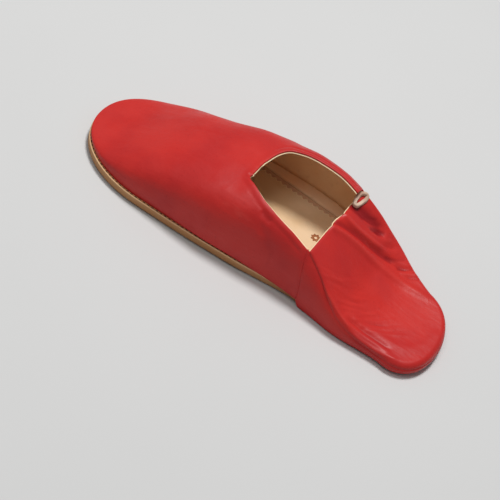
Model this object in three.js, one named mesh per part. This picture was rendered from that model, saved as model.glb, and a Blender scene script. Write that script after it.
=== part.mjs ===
// Babouche slipper, empty, standing on its sole, with the back trodden down.
// Millimetres: +X runs from heel to toe, +Y to the left, +Z up, and z = 0 is the floor.
// Four pieces: outsole, insole, vamp (toe, instep and sides) and back quarter
// (the heel part of the upper, turned in at a ridge and lying forward as a flap).
// It is the right slipper of a pair: the middle line and the arch lean a little to -Y.
import * as THREE from "three";

// ---------- Driving dimensions ----------

const LAST_LENGTH = 261; // foot line of the upper, from heel end to toe end
const UPPER_WALL = 2; // red leather and its lining together
const SOLE_THICKNESS = 5;
const INSOLE_THICKNESS = 1.8;
const PIECE_GAP = 0.3; // between two pieces that touch on the real slipper

// Foot line of the upper: half width, between the heel cap and the toe cap.
const FOOT_LINE = [
  { x: 24, half: 31.6 },
  { x: 64, half: 39.2 },
  { x: 104, half: 38 },
  { x: 136, half: 39.2 },
  { x: 168, half: 40.8 },
  { x: 204, half: 41.5 },
];
const HEEL_CAP = { x: 24, squareness: 2.15 };
const TOE_CAP = { x: 204, squareness: 2.15 };

// The middle line swings to the outer side (-Y) behind the ball, as a right last does.
const MIDDLE_LINE = [
  { x: 0, swing: 4.4 },
  { x: 38, swing: -2.2 },
  { x: 85, swing: -6 },
  { x: 140, swing: -3.6 },
  { x: 204, swing: -1.2 },
  { x: 261, swing: 0 },
];

// How the sole and the lower edge of the upper meet, along the slipper.
// margin: how far the sole stands outside the foot line (minus: tucked under it)
// curl: how far the sole's top edge is rolled up; seat: height of the upper's lower edge
const EDGE_FORM = [
  { x: 0, margin: -2.4, curl: 0, seat: 1 },
  { x: 80, margin: -2.4, curl: 0, seat: 1 },
  { x: 92, margin: -2.4, curl: 0, seat: 5.3 },
  { x: 110, margin: 0, curl: 0.4, seat: 5.7 },
  { x: 138, margin: 2, curl: 1.7, seat: 6.4 },
  { x: 261, margin: 2, curl: 1.7, seat: 6.4 },
];
const CURL_REACH = 9; // width of the rolled margin of the sole
const UNDERSIDE_CURL = 0.4; // the underside rolls up by this share of the top's curl

// Outer surface of the upper.
// swell: how far the sides stand outside the foot line; lean: shift of the arch to -Y
// crown: height over the middle line; squareness: exponent of the arched section
const UPPER_FORM = [
  { x: 94.5, swell: 3.6, lean: 3.1, crown: 50.5, squareness: 3 },
  { x: 110, swell: 5, lean: 4.2, crown: 53.6, squareness: 3 },
  { x: 124, swell: 5.4, lean: 4.2, crown: 54.5, squareness: 3 },
  { x: 144, swell: 5, lean: 3.4, crown: 51, squareness: 3.1 },
  { x: 151, swell: 4.8, lean: 3, crown: 48.5, squareness: 3.3 },
  { x: 168, swell: 3, lean: 2, crown: 45, squareness: 3.3 },
  { x: 188, swell: 0.8, lean: 0.5, crown: 39, squareness: 3 },
  { x: 204, swell: 0, lean: 0, crown: 33, squareness: 2.9 },
  { x: 218, swell: 0, lean: 0, crown: 26, squareness: 2.9 },
  { x: 238, swell: 0.5, lean: 0, crown: 16, squareness: 2.9 },
  { x: 261, swell: 1.5, lean: 0, crown: 10, squareness: 2.9 },
];
const VAMP_BELLY = 8.6; // height where the vamp is widest
const TOE_SPRING = 1; // rise of the toe end
const TOE_SPRING_START = 205;
const SECTION_POWER = 2 / 2.6; // spreads the mesh's rows evenly over an arched section

// Ridge where the back quarter is turned in.
// height: top of the fold; bend: its outer radius; inset: how far the wall leans in
const RIDGE = [
  { x: 0, height: 10.4, bend: 4, inset: 0.6 },
  { x: 22, height: 10.6, bend: 4, inset: 0.6 },
  { x: 38, height: 11.6, bend: 4, inset: 0.7 },
  { x: 57, height: 17, bend: 3.4, inset: 1.2 },
  { x: 68, height: 23.5, bend: 3, inset: 3 },
  { x: 78, height: 31, bend: 2.6, inset: 5 },
  { x: 90.5, height: 39, bend: 2.2, inset: 7 },
  { x: 94.5, height: 40, bend: 0, inset: 7.4 },
];
const QUARTER_SWELL = 2;
const QUARTER_BELLY = 6; // height where the quarter is widest, at the heel
const FLAP_SAG = 1; // the flap's middle lies lower than its ridges

const SEAM_X = 94.5; // top of the side seams, from the heel end
const SEAM_SLANT = 7.5; // a seam's foot lies this much nearer the heel
const SEAM_SLANT_REACH = 22; // the mesh's columns lean with the seam this far to each side
const SEAM_TOP_ANGLE = 0.64; // place on the arch where the seams end, as archAngle gives it
const FLAP_START_X = 90.5; // the quarter's top edge turns inward here
const FLAP_FRONT_X = 93.8; // middle of the flap's free front edge

// Collar of the vamp, from the side seams to the middle of the throat. It is a sharp
// corner on the inner (left) side of the throat and an even curve on the outer side.
const COLLAR = [
  { leftX: 94.5, leftHalf: 35, rightX: 94.5, rightHalf: 22.9 },
  { leftX: 108, leftHalf: 34.1, rightX: 108, rightHalf: 23.4 },
  { leftX: 120, leftHalf: 32.6, rightX: 121, rightHalf: 23 },
  { leftX: 132, leftHalf: 29.2, rightX: 133, rightHalf: 22.4 },
  { leftX: 142, leftHalf: 23.4, rightX: 142, rightHalf: 20.4 },
  { leftX: 150.4, leftHalf: 16, rightX: 148.2, rightHalf: 12 },
  { leftX: 150.7, leftHalf: 0, rightX: 150.7, rightHalf: 0 },
];

// Insole: stands inside the upper's inner face, with a pinked edge.
const INSOLE_INSET = 0.6;
const PINK_PITCH = 4.2;
const PINK_DEPTH = 1.6;

// ---------- Interpolation ----------

// Smooth curve through a table's column that never overshoots its rows.
function smoothTable(rows, column, key = "x") {
  const steps = rows.slice(1).map((row, i) => row[key] - rows[i][key]);
  const slopes = rows.slice(1).map((row, i) => (row[column] - rows[i][column]) / steps[i]);
  const tangents = rows.map((row, i) => {
    if (i === 0) return slopes[0];
    if (i === rows.length - 1) return slopes[i - 1];
    const before = slopes[i - 1];
    const after = slopes[i];
    return before * after <= 0 ? 0 : (2 * before * after) / (before + after);
  });
  return (at) => {
    const last = rows.length - 1;
    const place = THREE.MathUtils.clamp(at, rows[0][key], rows[last][key]);
    let i = 0;
    while (i < last - 1 && place > rows[i + 1][key]) i += 1;
    const t = (place - rows[i][key]) / steps[i];
    const rise = steps[i] * (t * (1 - t) ** 2 * tangents[i] - t * t * (1 - t) * tangents[i + 1]);
    const blend = t * t * (3 - 2 * t);
    return rows[i][column] * (1 - blend) + rows[i + 1][column] * blend + rise;
  };
}

const footHalf = smoothTable(FOOT_LINE, "half");
const middleY = smoothTable(MIDDLE_LINE, "swing");
const soleMargin = smoothTable(EDGE_FORM, "margin");
const soleCurl = smoothTable(EDGE_FORM, "curl");
const seatHeight = smoothTable(EDGE_FORM, "seat");
const vampSwell = smoothTable(UPPER_FORM, "swell");
const vampLean = smoothTable(UPPER_FORM, "lean");
const vampCrown = smoothTable(UPPER_FORM, "crown");
const vampSquareness = smoothTable(UPPER_FORM, "squareness");
const ridgeHeight = smoothTable(RIDGE, "height");
const ridgeBend = smoothTable(RIDGE, "bend");
const ridgeInset = smoothTable(RIDGE, "inset");
const collarRows = COLLAR.map((row, step) => ({ ...row, step }));

function toeSpring(x) {
  const share = Math.max(0, (x - TOE_SPRING_START) / (LAST_LENGTH - TOE_SPRING_START));
  return TOE_SPRING * share * share;
}

// ---------- Places round the slipper ----------

// A place is either on a straight side (x, side) or on an end cap (cap, turn).
// turn is the angle from the left side, round the cap, to the right side.
function sidePlaces(from, to, count, side) {
  return Array.from({ length: count + 1 }, (_, i) => ({ x: from + ((to - from) * i) / count, side }));
}

function capPlaces(cap, count) {
  return Array.from({ length: count - 1 }, (_, i) => ({ cap, turn: (Math.PI * (i + 1)) / count }));
}

const signedPower = (value, power) => Math.sign(value) * Math.abs(value) ** power;

// Plan position: share 1 is on an outline that stands `grow` outside the foot line,
// and share 0 is on the middle line (or at the middle of a cap).
function planPoint(place, grow, share) {
  if (!place.cap) {
    return [place.x, middleY(place.x) + place.side * share * (footHalf(place.x) + grow)];
  }
  const { cap, turn } = place;
  const isToe = cap === TOE_CAP;
  const reach = (isToe ? LAST_LENGTH - cap.x : cap.x) + grow;
  const power = 2 / cap.squareness;
  const along = signedPower(Math.sin(turn), power) * reach * share;
  const across = signedPower(Math.cos(turn), power) * (footHalf(cap.x) + grow) * share;
  const x = cap.x + (isToe ? along : -along);
  return [x, middleY(x) + across];
}

// ---------- The upper's outer surface ----------

// Share of the half width at which the quarter's ridge stands.
const ridgeShare = (x) => 1 - ridgeInset(x) / (footHalf(x) + QUARTER_SWELL);

// Section of the upper at x. Behind the seams the crown is the height that the arch
// would have if the quarter's wall went on over the foot.
function upperForm(x) {
  const squareness = vampSquareness(x);
  if (x >= SEAM_X) {
    return {
      swell: vampSwell(x),
      lean: vampLean(x),
      belly: VAMP_BELLY,
      crown: vampCrown(x),
      squareness,
    };
  }
  const towardsHeel = THREE.MathUtils.smoothstep(SEAM_X - x, 0, SEAM_X - HEEL_CAP.x);
  const belly = THREE.MathUtils.lerp(VAMP_BELLY, QUARTER_BELLY, towardsHeel);
  const archAtRidge = (1 - ridgeShare(x) ** squareness) ** (1 / squareness);
  return {
    swell: THREE.MathUtils.lerp(vampSwell(x), QUARTER_SWELL, towardsHeel),
    lean: THREE.MathUtils.lerp(vampLean(x), 0, towardsHeel),
    belly,
    crown: belly + (ridgeHeight(x) - ridgeBend(x) - belly) / archAtRidge,
    squareness,
  };
}

// Angle that stands for a share of the half width: 0 at the widest place, 90 degrees on top.
const archAngle = (share) => Math.acos(share ** (1 / SECTION_POWER));

// A side place moved back along the slipper, by the slant of the seams.
function slanted(place, share) {
  if (place.cap) return place;
  const low = 1 - Math.min(1, archAngle(share) / SEAM_TOP_ANGLE);
  const near = 1 - THREE.MathUtils.smoothstep(Math.abs(place.x - SEAM_X), 0, SEAM_SLANT_REACH);
  return { ...place, x: place.x - SEAM_SLANT * low * near };
}

// Point on the arch: share 1 is the widest place, share 0 the middle line.
function archPoint(place, share) {
  const [footX] = planPoint(place, 0, share);
  const [x, y] = planPoint(place, upperForm(footX).swell, share);
  const { lean, belly, crown, squareness } = upperForm(x);
  const arch = Math.max(0, 1 - share ** squareness) ** (1 / squareness);
  return new THREE.Vector3(x, y - lean, belly + (crown - belly) * arch + toeSpring(x));
}

// Point on the lower wall: rise 0 is the lower edge on the foot line, rise 1 the belly.
function wallPoint(place, rise) {
  const [footX] = planPoint(place, 0, 1);
  const { swell, lean, belly } = upperForm(footX);
  const bulge = Math.sin((rise * Math.PI) / 2);
  const [x, y] = planPoint(place, swell * bulge, 1);
  const seat = seatHeight(footX);
  return new THREE.Vector3(x, y - lean * bulge, seat + (belly - seat) * rise + toeSpring(x));
}

// ---------- Meshes ----------

const NEAR = 0.01; // points this close are taken to be on the same edge

// A skin collects patches of surface and joins points that coincide.
class Skin {
  constructor() {
    this.points = [];
    this.faces = [];
    this.lookup = new Map();
  }

  point(p) {
    const key = [p.x, p.y, p.z].map((value) => Math.round(value * 1e4)).join();
    if (!this.lookup.has(key)) {
      this.lookup.set(key, this.points.length);
      this.points.push(p.clone());
    }
    return this.lookup.get(key);
  }

  triangle(a, b, c) {
    if (a !== b && b !== c && c !== a) this.faces.push([a, b, c]);
  }

  // columns[i][j]: i runs round the slipper from left to right, j from the foot upwards.
  // Gives back the numbers of the points in the first and the last column.
  patch(columns) {
    const ids = columns.map((column) => column.map((p) => this.point(p)));
    for (let i = 0; i < ids.length - 1; i += 1) {
      for (let j = 0; j < ids[i].length - 1; j += 1) {
        this.triangle(ids[i][j], ids[i + 1][j + 1], ids[i + 1][j]);
        this.triangle(ids[i][j], ids[i][j + 1], ids[i + 1][j + 1]);
      }
    }
    return new Set([...ids[0], ...ids[ids.length - 1]]);
  }

  normals() {
    const sums = this.points.map(() => new THREE.Vector3());
    for (const [a, b, c] of this.faces) {
      const u = this.points[b].clone().sub(this.points[a]);
      const v = this.points[c].clone().sub(this.points[a]);
      const area = u.cross(v);
      [a, b, c].forEach((id) => sums[id].add(area));
    }
    return sums.map((sum) => sum.normalize());
  }

  geometry() {
    const geometry = new THREE.BufferGeometry();
    const numbers = this.points.flatMap((p) => [p.x, p.y, p.z]);
    geometry.setAttribute("position", new THREE.Float32BufferAttribute(numbers, 3));
    geometry.setIndex(this.faces.flat());
    geometry.computeVertexNormals();
    return geometry;
  }
}

// Gives an open skin a wall of real thickness on its inner side, and closes its free edges.
// A lower edge moves inward level, to stay flat on the sole, and a seam edge moves
// inward square to the slipper, so that vamp and quarter face each other.
function thicken(skin, wall, seamIds) {
  const count = skin.points.length;
  const outerFaces = [...skin.faces];
  skin.normals().forEach((normal, id) => {
    const p = skin.points[id];
    const inward = normal.clone().multiplyScalar(-1);
    if (seamIds.has(id)) inward.setX(0);
    if (Math.abs(p.z - seatHeight(p.x) - toeSpring(p.x)) < NEAR) inward.setZ(0);
    skin.points.push(p.clone().addScaledVector(inward.normalize(), wall));
  });
  const used = new Set(outerFaces.flatMap(([a, b, c]) => [`${a},${b}`, `${b},${c}`, `${c},${a}`]));
  for (const [a, b, c] of outerFaces) {
    skin.triangle(a + count, c + count, b + count);
    for (const [from, to] of [[a, b], [b, c], [c, a]]) {
      if (used.has(`${to},${from}`)) continue;
      skin.triangle(to, from, from + count);
      skin.triangle(to, from + count, to + count);
    }
  }
  return skin;
}

function leather(color, roughness) {
  return new THREE.MeshStandardMaterial({ color, roughness, metalness: 0, side: THREE.DoubleSide });
}

function piece(name, skin, material) {
  const mesh = new THREE.Mesh(skin.geometry(), material);
  mesh.name = name;
  return mesh;
}

const steps = (count) => Array.from({ length: count + 1 }, (_, i) => i / count);

// ---------- Outsole ----------

// Rise of the rolled margin at a distance inside the sole's edge.
function curlRise(x, inside) {
  const share = Math.max(0, 1 - inside / CURL_REACH);
  return soleCurl(x) * share * share;
}

// Point of the sole: face 0 is its underside and 1 its top, share 1 its edge.
function solePoint(place, share, face) {
  const [footX] = planPoint(place, 0, 1);
  const margin = soleMargin(footX);
  const [edgeX, edgeY] = planPoint(place, margin, 1);
  const [x, y] = planPoint(place, margin, share);
  const rise = curlRise(footX, Math.hypot(edgeX - x, edgeY - y));
  const curl = rise * THREE.MathUtils.lerp(UNDERSIDE_CURL, 1, face);
  return new THREE.Vector3(x, y, SOLE_THICKNESS * face + curl + toeSpring(x));
}

function outsole() {
  const places = [
    ...sidePlaces(HEEL_CAP.x, TOE_CAP.x, 22, 1),
    ...capPlaces(TOE_CAP, 20),
    ...sidePlaces(TOE_CAP.x, HEEL_CAP.x, 22, -1),
    ...capPlaces(HEEL_CAP, 14).reverse(),
    { x: HEEL_CAP.x, side: 1 },
  ];
  const shares = [0, 0.8, 0.88, 0.94, 0.98, 1];
  const skin = new Skin();
  skin.patch(
    places.map((place) => [
      ...shares.map((share) => solePoint(place, share, 0)),
      ...[...shares].reverse().map((share) => solePoint(place, share, 1)),
    ]),
  );
  return piece("outsole", skin, leather(0xb98a5a, 0.7));
}

// ---------- Insole ----------

// Places one pinking tooth apart: every second one lies at the foot of a tooth.
function insole() {
  const teeth = (length) => Math.round(length / PINK_PITCH) * 2;
  const sideTeeth = teeth(TOE_CAP.x - HEEL_CAP.x);
  const toeTeeth = teeth((Math.PI / 2) * (LAST_LENGTH - TOE_CAP.x + footHalf(TOE_CAP.x)));
  const heelTeeth = teeth((Math.PI / 2) * (HEEL_CAP.x + footHalf(HEEL_CAP.x)));
  const places = [
    ...sidePlaces(HEEL_CAP.x, TOE_CAP.x, sideTeeth, 1),
    ...capPlaces(TOE_CAP, toeTeeth),
    ...sidePlaces(TOE_CAP.x, HEEL_CAP.x, sideTeeth, -1),
    ...capPlaces(HEEL_CAP, heelTeeth).reverse(),
    { x: HEEL_CAP.x, side: 1 },
  ];
  const shares = [0, 0.9, 1];
  const skin = new Skin();
  skin.patch(
    places.map((place, i) => {
      const notch = i % 2 === 1 ? PINK_DEPTH : 0;
      const point = (share, face) => {
        const depth = share === 1 ? notch : 0;
        const [x, y] = planPoint(place, -UPPER_WALL - INSOLE_INSET - depth, share);
        const [footX] = planPoint(place, 0, 1);
        const [edgeX, edgeY] = planPoint(place, soleMargin(footX), 1);
        const inside = Math.hypot(edgeX - x, edgeY - y);
        const floor = SOLE_THICKNESS + curlRise(footX, inside) + PIECE_GAP;
        return new THREE.Vector3(x, y, floor + INSOLE_THICKNESS * face + toeSpring(x));
      };
      return [
        ...shares.map((share) => point(share, 0)),
        ...[...shares].reverse().map((share) => point(share, 1)),
      ];
    }),
  );
  return piece("insole", skin, leather(0xd9b98c, 0.75));
}

// ---------- Vamp ----------

// Column of the arch from a place on the side to a point further forward or back,
// given as its x and its half width.
function archColumn(place, targetX, targetHalf, rows) {
  const widest = footHalf(targetX) + upperForm(targetX).swell;
  const topShare = Math.min(1, targetHalf / widest);
  const topAngle = archAngle(topShare);
  return steps(rows).map((t) => {
    const share = t === 1 ? topShare : Math.cos(topAngle * t) ** SECTION_POWER;
    const x = THREE.MathUtils.lerp(place.x, targetX, t);
    return archPoint(slanted({ x, side: place.side }, share), share);
  });
}

const LOWER_ROWS = 3;
const ARCH_ROWS = 12;

function vamp() {
  const collarColumns = 18;
  const spineColumns = 6;
  const throatBase = 166;
  const throatX = COLLAR[COLLAR.length - 1].leftX;
  const column = (sign, x, targetX, targetHalf) => {
    const place = { x, side: sign };
    const lower = steps(LOWER_ROWS).map((rise) => wallPoint(slanted(place, 1), rise));
    return [...lower.slice(0, -1), ...archColumn(place, targetX, targetHalf, ARCH_ROWS)];
  };
  const side = (sign) => {
    const hand = sign > 0 ? "left" : "right";
    const collarX = smoothTable(collarRows, `${hand}X`, "step");
    const collarHalf = smoothTable(collarRows, `${hand}Half`, "step");
    const collar = steps(collarColumns).map((t) => {
      const step = t * (COLLAR.length - 1);
      const x = THREE.MathUtils.lerp(SEAM_X, throatBase, t);
      return column(sign, x, collarX(step), collarHalf(step));
    });
    const spine = steps(spineColumns).slice(1).map((t) => {
      const x = THREE.MathUtils.lerp(throatBase, TOE_CAP.x, t);
      return column(sign, x, THREE.MathUtils.lerp(throatX, TOE_CAP.x, t), 0);
    });
    return [...collar, ...spine];
  };
  const cap = capPlaces(TOE_CAP, 22).map((place) => {
    const lower = steps(LOWER_ROWS).map((rise) => wallPoint(place, rise));
    const arch = steps(ARCH_ROWS).map((t) => {
      const share = t === 1 ? 0 : Math.cos((t * Math.PI) / 2) ** SECTION_POWER;
      return archPoint(place, share);
    });
    return [...lower.slice(0, -1), ...arch];
  });
  const skin = new Skin();
  const seamIds = skin.patch([...side(1), ...cap, ...side(-1).reverse()]);
  thicken(skin, UPPER_WALL, seamIds);
  return piece("vamp", skin, leather(0xb3272b, 0.45));
}

// ---------- Back quarter ----------

const QUARTER_WALL_ROWS = 4;
const FOLD_ROWS = 3;
const PANEL_ROWS = 6;

// Outer wall of the quarter, from its lower edge to the ridge.
function quarterWall(place) {
  const topShare = ridgeShare(planPoint(place, 0, 1)[0]);
  const lower = steps(LOWER_ROWS).map((rise) => wallPoint(slanted(place, 1), rise));
  const upper = steps(QUARTER_WALL_ROWS).map((t) => {
    const share = 1 - (1 - topShare) * t * t;
    return archPoint(slanted(place, share), share);
  });
  return [...lower.slice(0, -1), ...upper];
}

// Fold at the ridge, and then the flap, straight in plan to its place on the middle line.
function quarterFlap(place, targetX) {
  const ridgeX = planPoint(place, 0, 1)[0];
  const share = ridgeShare(ridgeX);
  const ridge = archPoint(slanted(place, share), share);
  const radius = ridgeBend(ridgeX);
  const middle = new THREE.Vector3(targetX, middleY(targetX), 0);
  const inward = middle.clone().sub(ridge).setZ(0);
  const span = inward.length() - radius;
  inward.normalize();
  const bend = steps(FOLD_ROWS).map((t) => {
    const angle = (t * Math.PI) / 2;
    const p = ridge.clone().addScaledVector(inward, radius * (1 - Math.cos(angle)));
    return p.setZ(ridge.z + radius * Math.sin(angle));
  });
  const edge = bend[bend.length - 1];
  const middleZ = ridgeHeight(targetX) - FLAP_SAG;
  const panel = steps(PANEL_ROWS).slice(1).map((t) => {
    const p = edge.clone().addScaledVector(inward, span * t);
    return p.setZ(THREE.MathUtils.lerp(edge.z, middleZ, t * (2 - t)));
  });
  return [...bend, ...panel];
}

function backQuarter() {
  const front = SEAM_X - PIECE_GAP;
  const flapColumns = 9;
  const flapPlaces = sidePlaces(FLAP_START_X, HEEL_CAP.x, flapColumns, 1);
  const targets = flapPlaces.map((_, i) =>
    THREE.MathUtils.lerp(FLAP_FRONT_X, HEEL_CAP.x, i / flapColumns),
  );
  const cap = capPlaces(HEEL_CAP, 16);
  const mirrored = flapPlaces.map((place) => ({ ...place, side: -1 })).reverse();
  const places = [...flapPlaces, ...cap, ...mirrored];
  const middles = [...targets, ...cap.map(() => HEEL_CAP.x), ...[...targets].reverse()];
  const seamEnd = (side) => ({ x: front, side });
  const skin = new Skin();
  const walls = [seamEnd(1), ...places, seamEnd(-1)].map(quarterWall);
  const flap = places.map((place, i) => quarterFlap(place, middles[i]));
  const seamIds = skin.patch(walls.reverse());
  skin.patch(flap.reverse());
  thicken(skin, UPPER_WALL, seamIds);
  return piece("back_quarter", skin, leather(0xb3272b, 0.45));
}

// ---------- The slipper ----------

const slipper = new THREE.Group();
slipper.name = "babouche_slipper";
slipper.add(outsole(), insole(), vamp(), backQuarter());

// The origin is the middle of the slipper's footprint, on the floor.
const bounds = new THREE.Box3().setFromObject(slipper);
const centre = bounds.getCenter(new THREE.Vector3());
slipper.position.set(-centre.x, -centre.y, -bounds.min.z);

export default slipper;
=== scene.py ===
# %% [markdown]
# # A leather babouche, dressed in Blender
# A babouche is a flat slipper with a soft lined upper, a round closed toe and a back that its
# wearer treads down into a ramp. Its packed solids come in first as a fixed frame, in metres,
# and every piece below is built round them and never moves them. The other way, a model built
# freely by eye, would drift away from the sizes that the slipper's checks were made on.

import math

import bpy
import numpy as np
from mathutils import Matrix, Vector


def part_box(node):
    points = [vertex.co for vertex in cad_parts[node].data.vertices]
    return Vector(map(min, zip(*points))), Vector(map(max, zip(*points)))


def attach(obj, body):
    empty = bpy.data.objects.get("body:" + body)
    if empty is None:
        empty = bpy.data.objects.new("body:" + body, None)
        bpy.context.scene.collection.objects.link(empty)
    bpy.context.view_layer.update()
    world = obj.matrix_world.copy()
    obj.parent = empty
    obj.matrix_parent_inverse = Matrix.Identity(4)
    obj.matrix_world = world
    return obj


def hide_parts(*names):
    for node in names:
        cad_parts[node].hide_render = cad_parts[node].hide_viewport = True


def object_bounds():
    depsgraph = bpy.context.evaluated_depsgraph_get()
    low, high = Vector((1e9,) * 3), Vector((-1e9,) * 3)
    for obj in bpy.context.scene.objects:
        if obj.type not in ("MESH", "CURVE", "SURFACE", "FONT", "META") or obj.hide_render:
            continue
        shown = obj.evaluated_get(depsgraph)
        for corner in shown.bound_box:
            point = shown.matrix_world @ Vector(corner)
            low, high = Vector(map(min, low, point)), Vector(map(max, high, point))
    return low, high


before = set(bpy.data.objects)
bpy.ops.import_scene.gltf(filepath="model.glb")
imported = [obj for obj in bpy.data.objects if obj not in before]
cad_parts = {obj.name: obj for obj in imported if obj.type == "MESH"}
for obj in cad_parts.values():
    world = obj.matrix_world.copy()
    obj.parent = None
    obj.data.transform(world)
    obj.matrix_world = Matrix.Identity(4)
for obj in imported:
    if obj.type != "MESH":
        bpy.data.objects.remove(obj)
cad_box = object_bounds()
print("nodes:", sorted(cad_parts), "box:", [tuple(round(v, 4) for v in c) for c in cad_box])

# %% [markdown]
# ## The last
# A shoemaker pulls leather over a last, so the last's own sizes shape everything. They are kept
# here as short tables along the slipper, in millimetres from the heel end. Tables can be read
# and changed by hand, which a sculpted mesh can't. A monotone cubic joins the rows, because it
# is smooth and never swings past them as an ordinary spline does.

# %% Sizes of the last
LAST_LENGTH = 261
SOLE_THICKNESS = 5
INSOLE_THICKNESS = 1.8
PIECE_GAP = 0.3
CAP_SQUARENESS = 2.15
HEEL_CAP_X = 24
TOE_CAP_X = 204
SEAM_X = 94.5
SEAM_SLANT = 7.5
SEAM_SLANT_REACH = 22
SEAM_TOP_ANGLE = 0.64
TOE_SPRING = 1
TOE_SPRING_START = 205
FOOT_LINE = {
    "x": (24, 64, 104, 136, 168, 204),
    "half": (31.6, 39.2, 38, 39.2, 40.8, 41.5),
}
MIDDLE_LINE = {
    "x": (0, 38, 85, 140, 204, 261),
    "swing": (4.4, -2.2, -6, -3.6, -1.2, 0),
}

print("last:", LAST_LENGTH, "mm long, side seams at", SEAM_X, "mm")

# %% Smooth curves through tables


def smooth_table(table, column, key="x"):
    """Smooth curve through a table's column that never overshoots its rows."""
    at, value = np.array(table[key], float), np.array(table[column], float)
    steps = np.diff(at)
    slopes = np.diff(value) / steps
    before, after = slopes[:-1], slopes[1:]
    total = np.where(before + after == 0, 1, before + after)
    inner = np.where(before * after <= 0, 0, 2 * before * after / total)
    tangents = np.concatenate(([slopes[0]], inner, [slopes[-1]]))

    def curve(x):
        x = np.clip(x, at[0], at[-1])
        i = np.clip(np.searchsorted(at, x) - 1, 0, len(steps) - 1)
        t = (x - at[i]) / steps[i]
        rise = steps[i] * (t * (1 - t) ** 2 * tangents[i] - t * t * (1 - t) * tangents[i + 1])
        blend = t * t * (3 - 2 * t)
        return value[i] * (1 - blend) + value[i + 1] * blend + rise

    return curve


foot_half = smooth_table(FOOT_LINE, "half")
middle_y = smooth_table(MIDDLE_LINE, "swing")
print("widest place of the foot line:", 2 * max(FOOT_LINE["half"]), "mm across")

# %% [markdown]
# ## Places round the slipper
# The plan is two straight-sided flanks closed by a heel cap and a toe cap. One function covers
# all three, so each piece can walk round the slipper in a single loop of columns. Superellipse
# caps are used because real toes are a little squarer than half circles.

# %% Plan of the slipper


def side_places(start, end, count, side):
    """Columns along one flank: x, side, turn and cap (0 on a flank)."""
    x = np.linspace(start, end, count + 1)
    turn = np.full(count + 1, 0 if side > 0 else math.pi)
    return np.stack([x, np.full(count + 1, side), turn, np.zeros(count + 1)], 1)


def cap_places(cap, count):
    """Columns round a cap, from the left flank to the right, without its two ends."""
    turn = math.pi * np.arange(1, count) / count
    x = np.full(count - 1, TOE_CAP_X if cap > 0 else HEEL_CAP_X)
    return np.stack([x, np.ones(count - 1), turn, np.full(count - 1, cap)], 1)


def plan_point(places, grow, share):
    """x and y on an outline `grow` outside the foot line, scaled by share to the middle."""
    x0, side, turn, cap = np.moveaxis(places, -1, 0)
    power = 2 / CAP_SQUARENESS
    reach = np.where(cap > 0, LAST_LENGTH - TOE_CAP_X, HEEL_CAP_X) + grow
    x = x0 + cap * np.abs(np.sin(turn)) ** power * reach * share
    cosine = np.cos(turn)
    across = np.where(cap == 0, side, np.sign(cosine) * np.abs(cosine) ** power)
    return x, middle_y(x) + across * (foot_half(x0) + grow) * share


print("toe end of the foot line:", plan_point(cap_places(1, 2), 0, 1)[0].round(1), "mm")

# %% Toe spring and blends


def toe_spring(x):
    share = np.maximum(0, (x - TOE_SPRING_START) / (LAST_LENGTH - TOE_SPRING_START))
    return TOE_SPRING * share * share


def lerp(a, b, t):
    return a + (b - a) * t


def smooth_ramp(value, start, end):
    t = np.clip((value - start) / (end - start), 0, 1)
    return t * t * (3 - 2 * t)


print("the toe springs up by", toe_spring(LAST_LENGTH), "mm at its tip")

# %% [markdown]
# ## The upper's outer surface
# Each cross-section stands on the sole's edge, bulges to a belly just above it and arches over
# the foot. Swell, lean, crown and squareness are tabled along the slipper. The same two
# functions, one for the low wall and one for the arch, serve the vamp and the back quarter. The
# hem presses a little into the sole here, so that no light shows through under it. The side
# seams slant: their feet lie nearer the heel than their tops.

# %% Tables of the upper
VAMP_BELLY = 8.6
QUARTER_BELLY = 4.6
QUARTER_SWELL = 2
SECTION_POWER = 2 / 2.6
UPPER_FORM = {
    "x": (94.5, 110, 124, 144, 151, 168, 188, 204, 218, 238, 261),
    "swell": (3.6, 5, 5.4, 5, 4.8, 3, 0.8, 0, 0, 0.5, 1.5),
    "lean": (3.1, 4.2, 4.2, 3.4, 3, 2, 0.5, 0, 0, 0, 0),
    "crown": (50.5, 53.6, 54.5, 51, 48.5, 45, 39, 33, 26, 16, 10),
    "squareness": (3, 3, 3, 3.1, 3.3, 3.3, 3, 2.9, 2.9, 2.9, 2.9),
}
EDGE_FORM = {
    "x": (0, 83, 88, 110, 138, 261),
    "margin": (-2.4, -2.4, -2.4, 0, 2, 2),
    "curl": (0, 0, 0, 0.4, 1.7, 1.7),
    "hem": (0.2, 0.2, 4.8, 5.2, 5.85, 5.85),
}
RIDGE = {
    "x": (0, 22, 38, 57, 68, 78, 90.5, 94.5),
    "height": (10.4, 10.6, 11.6, 17, 23.5, 31, 39, 40.8),
    "bend": (4, 4, 4, 3.4, 3, 2.6, 2.2, 0),
    "inset": (0.6, 0.6, 0.7, 1.2, 3, 5, 7, 7.4),
}
vamp_swell, vamp_lean, vamp_crown, vamp_squareness = (
    smooth_table(UPPER_FORM, column) for column in ("swell", "lean", "crown", "squareness")
)
sole_margin, sole_curl, hem_height = (
    smooth_table(EDGE_FORM, column) for column in ("margin", "curl", "hem")
)
ridge_height, ridge_bend, ridge_inset = (
    smooth_table(RIDGE, column) for column in ("height", "bend", "inset")
)
print("crown", max(UPPER_FORM["crown"]), "mm high, ridge down to", min(RIDGE["height"]), "mm")

# %% Sections of the upper


def ridge_share(x):
    return 1 - ridge_inset(x) / (foot_half(x) + QUARTER_SWELL)


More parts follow.
